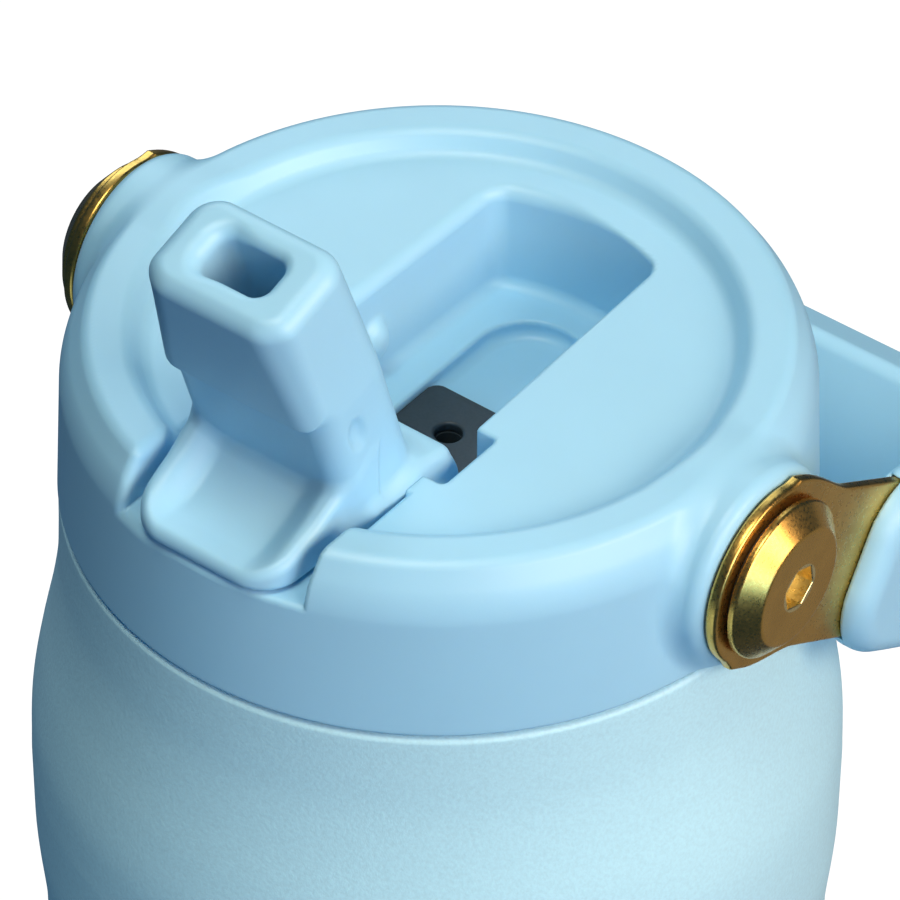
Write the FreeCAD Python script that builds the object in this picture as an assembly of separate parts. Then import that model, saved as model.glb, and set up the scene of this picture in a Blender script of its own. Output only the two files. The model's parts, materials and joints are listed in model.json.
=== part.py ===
import FreeCAD, Part
import math
import os
from FreeCAD import Vector

# Large insulated water jug: a double-walled steel flask, a screw lid with a
# flip-up drinking spout in a trough, and a swinging bail handle.
# Millimetres. Origin at the centre of the base, +Z up.
# X is the handle's pivot axis, -Y is the side that the spout drinks from.

# ---- driving dimensions ------------------------------------------------
SEAM = 213.0  # height of the joint line between flask and lid
GAP = 0.4  # half of the shadow gap at that line
TURN = 360.0
SMALL = 0.05  # running clearance between faces that slide

# flask
BODY_R = 64.6  # largest radius, below the shoulder
LOWER_R = 63.4  # radius below the soft step
# the shoulder's outward curve: radius and depth below the seam
FLARE = [(58.4, GAP), (58.6, 8.0), (59.1, 16.0), (60.5, 25.0), (62.6, 35.0), (64.1, 44.0), (BODY_R, 54.0)]
STEP_TOP = 66.0  # depth of the soft step's start below the seam
STEP_END = 86.0
SHOULDER_LOW = 46.0  # depth and height that the liner's shoulder runs between
SHOULDER_HIGH = 13.0
FOOT_ROUND = 7.0
WALL = 0.8  # steel wall
VACUUM = 4.0  # gap between the two walls
NECK_R = 49.0
NECK_WALL = 1.8
NECK_TOP = 11.0  # the neck's lip, above the seam
PITCH = 4.0  # screw thread's rise per turn
THREAD_DEPTH = 1.2
LINER_LIFT = 8.0  # height of the liner's underside
LINER_ROUND = 6.0
CAP_R = 54.0  # welded base cap
CAP_T = 1.2
TRAY_GAP = 0.4
BEAD_R = 4.0  # solder bead over the evacuation hole
BEAD_HOLE_R = 2.0

# lid, heights above the seam
LID_R = 58.5
LID_TOP_R = 57.3
BAND_Z = 24.4  # where the side turns into the tapered band
RING_R = 53.3
RING_Z = 30.4
RING_IN_R = 47.0
DISC_R = 44.4
DISC_Z = 26.9
LID_WALL = 3.0
TROUGH_FAR_R = 37.6  # the trough's far wall curves about the lid's axis
TROUGH_FAR_W = 15.4  # half widths of the trough
TROUGH_NEAR_W = 16.5
TROUGH_FLOOR = 8.0
TROUGH_BASE = 2.2  # underside of the trough's moulding
RECESS_W = 9.2
RECESS_FAR_Y = 31.6
RECESS_FLOOR = 5.0
POCKET_W = 20.4  # the slots that the spout's ears drop into
POCKET_Y0 = -25.2
POCKET_Y1 = -12.4
GATE_FLOOR = 22.0  # floor of the opening in the ring, under the paddle
GATE_FAR_Y = -38.8  # where that floor ends and the trough drops away
SKIRT_IN_R = 51.4
SKIRT_OUT_R = 53.7
WEB_Z = 13.0
WEB_T = 2.0
PLUG_R = 45.2
PLUG_WALL = 2.0
PLUG_Z = -3.0
FOAM_FIT = 0.1  # play between the foam and the mouldings around it
FOAM_SLACK = 0.4  # and under the lid's slanting faces

# spout, measured from its hinge: "along" runs up the mouthpiece and
# "front" runs towards the drinker
HINGE_Y = -25.0
HINGE_Z = 18.0
LEAN = 17.0  # forward lean of the open spout, degrees
BARREL_R = 10.0
BARREL_W = 15.9
EAR_R = 5.6
EAR_W = 19.6
PIN_R = 1.5
PIN_IN = 9.5  # the two hinge pins run from here out into the lid
PIN_W = 22.4
TIP = 57.9
TIP_W = 13.0
BLOCK_W = 15.2
BACK = -4.7
FRONT = 13.2
CHIN = 34.6  # where the block's front ends over the neck
NECK_FRONT = 11.4
HEAD_CORNER = 4.6
NECK_CORNER = 4.0
TIP_ROUND = 2.6
BORE_W = 6.2
BORE_T = 3.7
BORE_FRONT = 4.1
PADDLE_W = 14.7
PADDLE_Y = -57.6
PADDLE_ROUND = 6.0

# straw and vent
STRAW_R = 5.6
SPIGOT_R = 4.6
PORT_R = 3.6
SOCKET_R = 6.4
SPIGOT_Z = -15.0
STRAW_TOP = -4.0
STRAW_END = 18.0  # height of the straw's lower end above the base
SEAL_R = 9.0
SEAL_Z = 6.0
VENT_Y = 2.4
VENT_R = 2.1
VENT_TUBE_R = 3.3
COLLAR_T = 1.5  # the duckbill valve's collar and its tapering bill
BILL_L = 5.0
BILL_TIP_R = 1.2
BILL_WALL = 0.7
PAD_W = 9.1
PAD_Y0 = -9.5
PAD_Y1 = 10.7
PAD_T = 1.8

# handle
PIVOT_Z = 14.6
HANDLE_DROP = 31.2  # degrees below level, where the grip meets the flask
BOSS_R = 16.4
BOSS_X = 60.3
BOSS_ROOT_X = 54.2
EYE_R = 14.85
EYE_X = 60.6
STRAP_T = 2.0
STRAP_W = 13.2
STRAP_COVER = 5.4  # plastic behind the strap at the grip's far end
STRAP_CORNER = 19.6
GRIP_START = 26.0
GRIP_IN = 83.0
GRIP_OUT = 97.4
GRIP_W = 15.4
GRIP_X_IN = 59.2
GRIP_X_OUT = 67.0
GRIP_CORNER = 24.0
GRIP_ROUND = 3.6
GRIP_END_ROUND = 11.0
HEAD_R = 12.9
HEAD_X = 63.3
HEAD_FACE_R = 9.5
HEAD_FACE_X = 67.2
HEAD_LIP = 1.0
SHANK_R = 4.0
BUSH_R = 6.0
INSERT_R = 5.6
INSERT_X = 54.4
HEX_AF = 6.4
HEX_TURN = 10.0  # degrees that the socket is turned from level
HEX_DEPTH = 3.4

PARTS = {}


# ---- helpers -----------------------------------------------------------
def turned(points):
    """Solid of revolution about Z from (radius, height above the seam)."""
    corners = [Vector(r, 0, SEAM + z) for r, z in points]
    face = Part.Face(Part.makePolygon(corners + [corners[0]]))
    return face.revolve(Vector(), Vector(0, 0, 1), TURN)


def rod(radius, start, end, axis):
    """Cylinder from start to end along the unit vector axis."""
    direction = end - start
    return Part.makeCylinder(radius, direction.Length, start, axis)


def upright(radius, x, y, low, high):
    """Vertical cylinder between two heights above the seam."""
    return Part.makeCylinder(radius, high - low, Vector(x, y, SEAM + low))


def block(x0, x1, y0, y1, z0, z1):
    """Box between two corners, heights above the seam."""
    return Part.makeBox(x1 - x0, y1 - y0, z1 - z0, Vector(x0, y0, SEAM + z0))


def rounded(shape, radius, pick):
    """Fillet the edges that pick(edge) chooses."""
    edges = [edge for edge in shape.Edges if pick(edge)]
    return shape.makeFillet(radius, edges)


def is_along(direction):
    """Test for straight edges that run along a direction."""
    def test(edge):
        if not isinstance(edge.Curve, Part.Line):
            return False
        return abs(edge.tangentAt(edge.FirstParameter).dot(direction)) > 0.99
    return test


def mirrored(shape):
    """The same shape on the other side of the lid, across the YZ plane."""
    return shape.mirror(Vector(), Vector(1, 0, 0))


def both(shape):
    """Node of two like solids, one on each side of the jug."""
    return Part.makeCompound([shape, mirrored(shape)])


def thread(radius, out, low, turns):
    """Helical thread ridge with a trapezoid section, rooted at a radius."""
    root = 1.1
    crest = 0.45
    sink = 0.5 * out
    helix = Part.makeHelix(PITCH, PITCH * turns, radius)
    section = [
        Vector(radius - sink, 0, -root),
        Vector(radius + THREAD_DEPTH * out, 0, -crest),
        Vector(radius + THREAD_DEPTH * out, 0, crest),
        Vector(radius - sink, 0, root),
    ]
    profile = Part.makePolygon(section + [section[0]])
    ridge = Part.Wire(helix).makePipeShell([profile], True, True)
    ridge.translate(Vector(0, 0, SEAM + low))
    return ridge


# ---- flask -------------------------------------------------------------
def body_of(inset, bottom):
    """Solid flask body, its surface moved inward by inset."""
    flare = [Vector(r - inset, 0, SEAM - depth) for r, depth in FLARE]
    flare[0].z -= inset
    down = Vector(0, 0, -1)
    curve = Part.BSplineCurve()
    curve.interpolate(flare, InitialTangent=down, FinalTangent=down)
    step_stops = [
        Vector(BODY_R - inset, 0, SEAM - STEP_TOP),
        Vector((BODY_R + LOWER_R) / 2 - inset, 0, SEAM - (STEP_TOP + STEP_END) / 2),
        Vector(LOWER_R - inset, 0, SEAM - STEP_END),
    ]
    step = Part.BSplineCurve()
    step.interpolate(step_stops, InitialTangent=down, FinalTangent=down)
    turn_r = FOOT_ROUND - inset
    corner = Vector(LOWER_R - FOOT_ROUND, 0, bottom + turn_r)
    low = Vector(LOWER_R - inset, 0, bottom + turn_r)
    mid = corner + Vector(math.cos(math.pi / 4), 0, -math.sin(math.pi / 4)) * turn_r
    foot = Vector(LOWER_R - FOOT_ROUND, 0, bottom)
    top_axis = Vector(0, 0, flare[0].z)
    edges = [
        Part.LineSegment(top_axis, flare[0]).toShape(),
        curve.toShape(),
        Part.LineSegment(flare[-1], Vector(BODY_R - inset, 0, SEAM - STEP_TOP)).toShape(),
        step.toShape(),
        Part.LineSegment(Vector(LOWER_R - inset, 0, SEAM - STEP_END), low).toShape(),
        Part.Arc(low, mid, foot).toShape(),
        Part.LineSegment(foot, Vector(0, 0, bottom)).toShape(),
        Part.LineSegment(Vector(0, 0, bottom), top_axis).toShape(),
    ]
    return Part.Face(Part.Wire(edges)).revolve(Vector(), Vector(0, 0, 1), TURN)


def liner_outline(skin):
    """Outline of the liner's outside, or of its inside when skin is given."""
    widest = BODY_R - WALL - VACUUM - skin
    lower = LOWER_R - WALL - VACUUM - skin
    low = -SEAM + LINER_LIFT + skin
    neck = NECK_R - (NECK_WALL if skin else 0)
    top = NECK_TOP + skin
    return [
        (0, low),
        (lower - LINER_ROUND, low),
        (lower - 0.3 * LINER_ROUND, low + 0.3 * LINER_ROUND),
        (lower, low + LINER_ROUND),
        (lower, -STEP_END),
        (widest, -STEP_TOP),
        (widest, -SHOULDER_LOW),
        (neck, -SHOULDER_HIGH - skin),
        (neck, top),
        (0, top),
    ]


def make_flask():
    neck_hole = upright(NECK_R, 0, 0, -20, 5)
    cap_hole = upright(CAP_R, 0, 0, -SEAM - 1, -SEAM + FOOT_ROUND)
    shell = body_of(0, 0).cut(body_of(WALL, WALL)).cut(neck_hole).cut(cap_hole)
    PARTS["outer_shell"] = shell

    neck_thread = thread(NECK_R, 1, 2.0, 1.75)
    liner = turned(liner_outline(0)).cut(turned(liner_outline(WALL)))
    PARTS["inner_liner"] = liner.fuse(neck_thread)

    cap = upright(CAP_R, 0, 0, -SEAM, -SEAM + CAP_T)
    PARTS["base_cap"] = rounded(cap, 0.3, lambda edge: edge.BoundBox.ZMax < 0.01)

    tray_low = -SEAM + CAP_T + TRAY_GAP
    tray_top = tray_low + WALL
    plug = upright(BEAD_HOLE_R, 0, 0, tray_low, tray_top)
    PARTS["vacuum_tray"] = upright(CAP_R, 0, 0, tray_low, tray_top).cut(plug)
    PARTS["vacuum_seal"] = plug.fuse(upright(BEAD_R, 0, 0, tray_top, tray_top + WALL))


# ---- lid ---------------------------------------------------------------
def trough_outline(grow, low, high):
    """Tapered prism with a curved far end that the trough is cut with."""
    near = TROUGH_NEAR_W + grow
    end = TROUGH_FAR_W + grow
    far = TROUGH_FAR_R + grow
    corners = [
        Vector(-near, -70, SEAM + low),
        Vector(-near, POCKET_Y1, SEAM + low),
        Vector(-end, far, SEAM + low),
        Vector(end, far, SEAM + low),
        Vector(near, POCKET_Y1, SEAM + low),
        Vector(near, -70, SEAM + low),
    ]
    face = Part.Face(Part.makePolygon(corners + [corners[0]]))
    prism = face.extrude(Vector(0, 0, high - low))
    front = block(-40, 40, -70, 0, low, high)
    return prism.common(upright(far, 0, 0, low, high).fuse(front))


def lid_outside():
    """Solid of the lid's outer form with its edges rounded."""
    form = turned([
        (0, GAP), (LID_R, GAP), (LID_TOP_R, BAND_Z), (RING_R, RING_Z),
        (RING_IN_R, RING_Z), (DISC_R, DISC_Z), (0, DISC_Z),
    ])
    top = SEAM + RING_Z - 0.01
    form = rounded(form, 1.4, lambda edge: edge.BoundBox.ZMin > top)
    side = SEAM + BAND_Z
    return rounded(
        form, 1.6,
        lambda edge: abs(edge.BoundBox.ZMin - side) < 0.01 and abs(edge.BoundBox.ZMax - side) < 0.01,
    )


def boss(sign):
    """Raised pad on the lid's side that the handle's eye bears on."""
    start = Vector(sign * BOSS_ROOT_X, 0, SEAM + PIVOT_Z)
    end = Vector(sign * BOSS_X, 0, SEAM + PIVOT_Z)
    pad = rod(BOSS_R, start, end, Vector(sign, 0, 0))
    face_x = sign * BOSS_X
    pad = rounded(pad, 1.2, lambda edge: abs(edge.BoundBox.XMin - face_x) < 0.01
                  and abs(edge.BoundBox.XMax - face_x) < 0.01)
    below = block(-80, 80, -40, 40, -20, GAP)
    return pad.cut(below)


def make_lid():
    inside = turned([
        (0, -1), (LID_R - LID_WALL, -1), (LID_TOP_R - LID_WALL, BAND_Z - 1.2),
        (RING_R - 2, RING_Z - LID_WALL), (RING_IN_R + 1, RING_Z - LID_WALL),
        (DISC_R + 0.8, DISC_Z - LID_WALL), (0, DISC_Z - LID_WALL),
    ])
    form = lid_outside()
    shell = form.cut(inside)
    trough = trough_outline(LID_WALL, TROUGH_BASE, DISC_Z - 1)
    trough = trough.common(upright(PLUG_R - PLUG_WALL - 0.2, 0, 0, TROUGH_BASE, DISC_Z))
    pocket_w = POCKET_W + LID_WALL
    ears = block(-pocket_w, pocket_w, POCKET_Y0 - 9, POCKET_Y1 + LID_WALL, TROUGH_BASE, DISC_Z - 1)
    gate = trough_outline(LID_WALL, WEB_Z + WEB_T + 0.3, RING_Z)
    gate = gate.common(inside).common(block(-40, 40, -70, -36, 0, RING_Z))
    shell = shell.fuse([trough, ears, gate, boss(1), boss(-1)])

    cavity = trough_outline(0, TROUGH_FLOOR, RING_Z + 2)
    cavity = cavity.cut(block(-40, 40, -80, GATE_FAR_Y, 0, GATE_FLOOR))
    recess = block(-RECESS_W, RECESS_W, PAD_Y0, RECESS_FAR_Y, RECESS_FLOOR, TROUGH_FLOOR + 1)
    recess = rounded(recess, RECESS_W - 1.2, lambda edge: is_along(Vector(0, 0, 1))(edge)
                     and edge.BoundBox.YMin > 0)
    hinge = Vector(0, HINGE_Y, SEAM + HINGE_Z)
    well = rod(BARREL_R + 0.5, hinge - Vector(TROUGH_NEAR_W, 0, 0),
               hinge + Vector(TROUGH_NEAR_W, 0, 0), Vector(1, 0, 0))
    ear_slot = block(-POCKET_W, POCKET_W, POCKET_Y0, POCKET_Y1, HINGE_Z - EAR_R - 0.6, RING_Z)
    ear_well = rod(EAR_R + 0.4, hinge - Vector(POCKET_W, 0, 0),
                   hinge + Vector(POCKET_W, 0, 0), Vector(1, 0, 0))
    pin = rod(PIN_R, hinge - Vector(PIN_W, 0, 0), hinge + Vector(PIN_W, 0, 0), Vector(1, 0, 0))
    port = upright(SOCKET_R, 0, HINGE_Y, TROUGH_BASE - 1, TROUGH_FLOOR)
    seat = upright(SEAL_R, 0, HINGE_Y, SEAL_Z, TROUGH_FLOOR + 1)
    vent = upright(VENT_TUBE_R, 0, VENT_Y, TROUGH_BASE - 1, TROUGH_FLOOR)
    shell = shell.cut([cavity, recess, well, ear_slot, ear_well, pin, port, seat, vent])
    for sign in (-1, 1):
        start = Vector(sign * (INSERT_X - 2), 0, SEAM + PIVOT_Z)
        end = Vector(sign * (BOSS_X + 1), 0, SEAM + PIVOT_Z)
        shell = shell.cut(rod(INSERT_R, start, end, Vector(sign, 0, 0)))
    PARTS["lid_shell"] = shell

    liner = turned([
        (0, PLUG_Z), (PLUG_R, PLUG_Z), (PLUG_R, WEB_Z), (SKIRT_IN_R, WEB_Z), (SKIRT_IN_R, GAP + 0.4),
        (SKIRT_OUT_R, GAP + 0.4), (SKIRT_OUT_R, WEB_Z + WEB_T), (PLUG_R - PLUG_WALL, WEB_Z + WEB_T),
        (PLUG_R - PLUG_WALL, PLUG_Z + PLUG_WALL), (0, PLUG_Z + PLUG_WALL),
    ])
    lid_thread = thread(SKIRT_IN_R, -1, 4.0, 1.5)
    liner = liner.fuse(lid_thread)
    liner = liner.cut([
        upright(SOCKET_R, 0, HINGE_Y, PLUG_Z - 1, 0),
        upright(VENT_TUBE_R, 0, VENT_Y, PLUG_Z - 1, 0),
    ])
    PARTS["lid_liner"] = liner

    plug_in = PLUG_R - PLUG_WALL - FOAM_FIT
    floor = PLUG_Z + PLUG_WALL + FOAM_FIT
    ledge = WEB_Z + WEB_T + FOAM_FIT
    ceiling = -LID_WALL - FOAM_SLACK
    foam = turned([
        (0, floor), (plug_in, floor), (plug_in, ledge), (SKIRT_OUT_R - FOAM_SLACK, ledge),
        (SKIRT_OUT_R - FOAM_SLACK, BAND_Z - 2.0), (RING_R - 2.6, RING_Z + ceiling),
        (RING_IN_R + 1.2, RING_Z + ceiling), (DISC_R + 0.9, DISC_Z + ceiling), (0, DISC_Z + ceiling),
    ])
    keep_out = trough_outline(LID_WALL + FOAM_FIT, TROUGH_BASE - FOAM_FIT, RING_Z)
    ears_w = pocket_w + FOAM_FIT
    ears_out = block(-ears_w, ears_w, POCKET_Y0 - 9 - FOAM_FIT, POCKET_Y1 + LID_WALL + FOAM_FIT,
                     TROUGH_BASE - FOAM_FIT, RING_Z)
    foam = foam.cut([
        keep_out, ears_out,
        upright(SOCKET_R + FOAM_FIT, 0, HINGE_Y, -5, TROUGH_FLOOR),
        upright(VENT_TUBE_R + FOAM_FIT, 0, VENT_Y, -5, TROUGH_FLOOR),
    ])
    PARTS["lid_insulation"] = foam

    PARTS["lid_gasket"] = turned([
        (PLUG_R + 0.3, NECK_TOP + SMALL), (SKIRT_IN_R - 0.4, NECK_TOP + SMALL),
        (SKIRT_IN_R - 0.4, WEB_Z - SMALL), (PLUG_R + 0.3, WEB_Z - SMALL),
    ])


# ---- spout -------------------------------------------------------------
def spout_point(x, along, front):
    """Point of the open spout in the jug's frame."""
    tilt = math.radians(LEAN)
    y = HINGE_Y - along * math.sin(tilt) - front * math.cos(tilt)
    z = HINGE_Z + along * math.cos(tilt) - front * math.sin(tilt)
    return Vector(x, y, SEAM + z)


def spout_ring(along, half_w, back, front, corner):
    """Closed rounded rectangle across the spout at one height."""
    q = corner * (1 - math.cos(math.pi / 4))
    c = corner
    w = half_w
    stops = [
        ((-w + c, back), None, (w - c, back)),
        ((w - c, back), (w - q, back + q), (w, back + c)),
        ((w, back + c), None, (w, front - c)),
        ((w, front - c), (w - q, front - q), (w - c, front)),
        ((w - c, front), None, (-w + c, front)),
        ((-w + c, front), (-w + q, front - q), (-w, front - c)),
        ((-w, front - c), None, (-w, back + c)),
        ((-w, back + c), (-w + q, back + q), (-w + c, back)),
    ]
    edges = []
    for start, mid, end in stops:
        a = spout_point(start[0], along, start[1])
        b = spout_point(end[0], along, end[1])
        if mid is None:
            edges.append(Part.LineSegment(a, b).toShape())
        else:
            edges.append(Part.Arc(a, spout_point(mid[0], along, mid[1]), b).toShape())
    return Part.Wire(edges)


def side_profile(points, half_w):
    """Prism across the spout from an outline in (y, height over the seam)."""
    corners = [Vector(-half_w, y, SEAM + z) for y, z in points]
    face = Part.Face(Part.makePolygon(corners + [corners[0]]))
    return face.extrude(Vector(2 * half_w, 0, 0))


def make_spout():
    head = Part.makeLoft([
        spout_ring(CHIN, BLOCK_W, BACK, FRONT, HEAD_CORNER),
        spout_ring(TIP, TIP_W, BACK, FRONT, HEAD_CORNER),
    ], True, True)
    tip_z = spout_point(0, TIP, 0).z
    head = rounded(head, TIP_ROUND, lambda edge: edge.BoundBox.ZMin > tip_z - 6)
    neck = Part.makeLoft([
        spout_ring(0, BLOCK_W, BACK, NECK_FRONT, NECK_CORNER),
        spout_ring(CHIN + 1, BLOCK_W, BACK, NECK_FRONT, NECK_CORNER),
    ], True, True)
    hinge = Vector(0, HINGE_Y, SEAM + HINGE_Z)
    across = Vector(1, 0, 0)
    barrel = rod(BARREL_R, hinge - across * BARREL_W, hinge + across * BARREL_W, across)
    ears = rod(EAR_R, hinge - across * EAR_W, hinge + across * EAR_W, across)
    paddle = side_profile([
        (HINGE_Y - 6, 22.0), (HINGE_Y - 6, 34.0), (-41.4, 33.6), (-43.4, 29.0), (-47.5, 26.6),
        (-52.0, 25.6), (PADDLE_Y + 1.6, 25.8), (PADDLE_Y, 24.4), (PADDLE_Y + 0.4, GATE_FLOOR + 1.4),
        (PADDLE_Y + 2.0, GATE_FLOOR + 0.4), (HINGE_Y - BARREL_R - 1, GATE_FLOOR + 0.4),
    ], PADDLE_W)
    plan = block(-PADDLE_W, PADDLE_W, PADDLE_Y, HINGE_Y, 0, 60)
    upright_edge = is_along(Vector(0, 0, 1))
    plan = rounded(plan, PADDLE_ROUND, lambda edge: upright_edge(edge) and edge.BoundBox.YMax < PADDLE_Y + 1)
    spout = head.fuse([neck, barrel, ears, paddle.common(plan)])
    bore = Part.makeLoft([
        spout_ring(-BARREL_R - 3, BORE_W - 1.0, BORE_FRONT - BORE_T - 1, BORE_FRONT + BORE_T - 1, 2.0),
        spout_ring(TIP + 1, BORE_W, BORE_FRONT - BORE_T, BORE_FRONT + BORE_T, 2.4),
    ], True, True)
    pin_hole = rod(PIN_R + SMALL, hinge + across * (PIN_IN - SMALL), hinge + across * PIN_W, across)
    spout = spout.cut([bore, pin_hole, mirrored(pin_hole)])
    PARTS["flip_spout"] = spout.removeSplitter()
    PARTS["spout_hinge_pins"] = both(rod(PIN_R, hinge + across * PIN_IN, hinge + across * PIN_W, across))


def make_straw_and_valves():
    trunk = upright(SOCKET_R, 0, HINGE_Y, PLUG_Z, SEAL_Z)
    spigot = upright(SPIGOT_R, 0, HINGE_Y, SPIGOT_Z, PLUG_Z)
    port = upright(PORT_R, 0, HINGE_Y, SPIGOT_Z - 1, TROUGH_FLOOR + 1)
    PARTS["straw_socket"] = trunk.fuse(spigot).cut(port)

    straw = upright(STRAW_R, 0, HINGE_Y, STRAW_END - SEAM, STRAW_TOP)
    PARTS["straw"] = straw.cut(upright(SPIGOT_R, 0, HINGE_Y, -SEAM, 0))

    hinge = Vector(0, HINGE_Y, SEAM + HINGE_Z)
    across = Vector(1, 0, 0)
    barrel = rod(BARREL_R + SMALL, hinge - across * 20, hinge + across * 20, across)
    seal = upright(SEAL_R, 0, HINGE_Y, SEAL_Z, TROUGH_FLOOR)
    PARTS["spout_seal"] = seal.cut([barrel, port])

    pad = block(-PAD_W, PAD_W, PAD_Y0 + 0.2, PAD_Y1, RECESS_FLOOR, RECESS_FLOOR + PAD_T)
    PARTS["vent_pad"] = pad.cut(upright(VENT_R, 0, VENT_Y, 0, TROUGH_FLOOR + 2))
    tube = upright(VENT_TUBE_R, 0, VENT_Y, PLUG_Z, RECESS_FLOOR)
    PARTS["vent_tube"] = tube.cut(upright(VENT_R, 0, VENT_Y, PLUG_Z - 1, TROUGH_FLOOR))
    collar_z = PLUG_Z - COLLAR_T
    bill_z = collar_z - BILL_L
    collar = upright(VENT_TUBE_R + 1, 0, VENT_Y, collar_z, PLUG_Z)
    bill = Part.makeCone(BILL_TIP_R, VENT_TUBE_R, BILL_L, Vector(0, VENT_Y, SEAM + bill_z))
    inside = Part.makeCone(BILL_TIP_R - BILL_WALL, VENT_R, PLUG_Z - bill_z - BILL_WALL,
                           Vector(0, VENT_Y, SEAM + bill_z + BILL_WALL))
    slit = block(-0.3, 0.3, VENT_Y - 1.0, VENT_Y + 1.0, bill_z - 1, bill_z + COLLAR_T)
    PARTS["vent_duckbill"] = collar.fuse(bill).cut([inside, slit])


# ---- handle ------------------------------------------------------------
def placed(shape):
    """Turn a handle piece from its drawing position (reach along +Y,
    width along Z, pivot at the origin) to where it rests on the flask."""
    shape.rotate(Vector(), Vector(1, 0, 0), -HANDLE_DROP)
    shape.translate(Vector(0, 0, SEAM + PIVOT_Z))
    return shape


def loop_outline(half_w, start, end, corner, z):
    """Face of a U's filled outline: open side at start, rounded at end."""
    q = corner * (1 - math.cos(math.pi / 4))
    a = Vector(-half_w, start, z)
    b = Vector(-half_w, end - corner, z)
    ab = Vector(-half_w + q, end - q, z)
    c = Vector(-half_w + corner, end, z)
    d = Vector(half_w - corner, end, z)
    de = Vector(half_w - q, end - q, z)
    e = Vector(half_w, end - corner, z)
    f = Vector(half_w, start, z)
    edges = [
        Part.LineSegment(a, b).toShape(),
        Part.Arc(b, ab, c).toShape(),
        Part.LineSegment(c, d).toShape(),
        Part.Arc(d, de, e).toShape(),
        Part.LineSegment(e, f).toShape(),
        Part.LineSegment(f, a).toShape(),
    ]
    return Part.Face(Part.Wire(edges))


def loop(x_in, x_out, start, end_in, end_out, half_h, corner):
    """U-shaped band between two outlines, half_h to each side of Z = 0."""
    rise = Vector(0, 0, 2 * half_h)
    outer = loop_outline(x_out, start, end_out, corner, -half_h).extrude(rise)
    inner_corner = corner - (x_out - x_in)
    inner = loop_outline(x_in, start - 1, end_in, inner_corner, -half_h - 1)
    return outer.cut(inner.extrude(rise + Vector(0, 0, 2)))


def make_handle():
    band_out = EYE_X + STRAP_T
    strap_end = GRIP_OUT - STRAP_COVER
    strap = loop(EYE_X, band_out, 0, strap_end - STRAP_T, strap_end, STRAP_W, STRAP_CORNER)
    eye = rod(EYE_R, Vector(EYE_X, 0, 0), Vector(band_out, 0, 0), Vector(1, 0, 0))
    eye_hole = rod(BUSH_R + SMALL, Vector(-80, 0, 0), Vector(80, 0, 0), Vector(1, 0, 0))
    strap = strap.fuse([eye, mirrored(eye)]).cut(eye_hole)
    side = Part.makeBox(200, GRIP_OUT - GRIP_START, 2 * GRIP_W, Vector(-100, GRIP_START, -GRIP_W))
    along_x = is_along(Vector(1, 0, 0))
    side = rounded(side, GRIP_END_ROUND, lambda edge: along_x(edge) and edge.BoundBox.YMax < GRIP_START + 1)
    grip = loop(GRIP_X_IN, GRIP_X_OUT, GRIP_START, GRIP_IN, GRIP_OUT, GRIP_W, GRIP_CORNER)
    flat = GRIP_W - 0.01
    grip = rounded(grip, GRIP_ROUND, lambda edge: edge.BoundBox.ZMin > flat or edge.BoundBox.ZMax < -flat)
    grip = grip.common(side).cut(strap)
    PARTS["bail_strap"] = placed(strap)
    PARTS["handle_grip"] = placed(grip)


def make_pivots():
    across = Vector(1, 0, 0)

    def at(x):
        return Vector(x, 0, SEAM + PIVOT_Z)

    lip = rod(HEAD_R, at(HEAD_X), at(HEAD_X + HEAD_LIP), across)
    cone = Part.makeCone(HEAD_R, HEAD_FACE_R, HEAD_FACE_X - HEAD_X - HEAD_LIP, at(HEAD_X + HEAD_LIP), across)
    shank = rod(SHANK_R, at(INSERT_X), at(HEAD_X), across)
    corner_r = HEX_AF / math.sqrt(3)
    corners = []
    for k in range(6):
        angle = math.radians(60 * k + 30 + HEX_TURN)
        corners.append(at(HEAD_FACE_X) + Vector(0, math.cos(angle), math.sin(angle)) * corner_r)
    socket = Part.Face(Part.makePolygon(corners + [corners[0]])).extrude(Vector(-HEX_DEPTH, 0, 0))
    PARTS["pivot_screws"] = both(shank.fuse([lip, cone]).cut(socket))

    sleeve = rod(BUSH_R, at(BOSS_X), at(HEAD_X), across)
    flange = rod(HEAD_R - 0.9, at(EYE_X + STRAP_T + SMALL), at(HEAD_X), across)
    shank_hole = rod(SHANK_R, at(40), at(80), across)
    PARTS["pivot_bushes"] = both(sleeve.fuse(flange).cut(shank_hole))

    washer = rod(EYE_R - 0.9, at(BOSS_X), at(EYE_X - SMALL), across)
    PARTS["pivot_washers"] = both(washer.cut(rod(BUSH_R, at(40), at(80), across)))

    insert = rod(INSERT_R, at(INSERT_X), at(BOSS_X), across)
    PARTS["screw_inserts"] = both(insert.cut(shank_hole))


for maker in (make_flask, make_lid, make_spout, make_straw_and_valves, make_handle, make_pivots):
    maker()
os.makedirs("parts", exist_ok=True)
for name, shape in PARTS.items():
    print(name, shape.isValid(), len(shape.Solids), round(shape.Volume, 1))
    shape.exportStep("parts/%s.step" % name)
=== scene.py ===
import json
import math
import bmesh
import bpy
import numpy as np
from mathutils import Matrix, Vector

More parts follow.
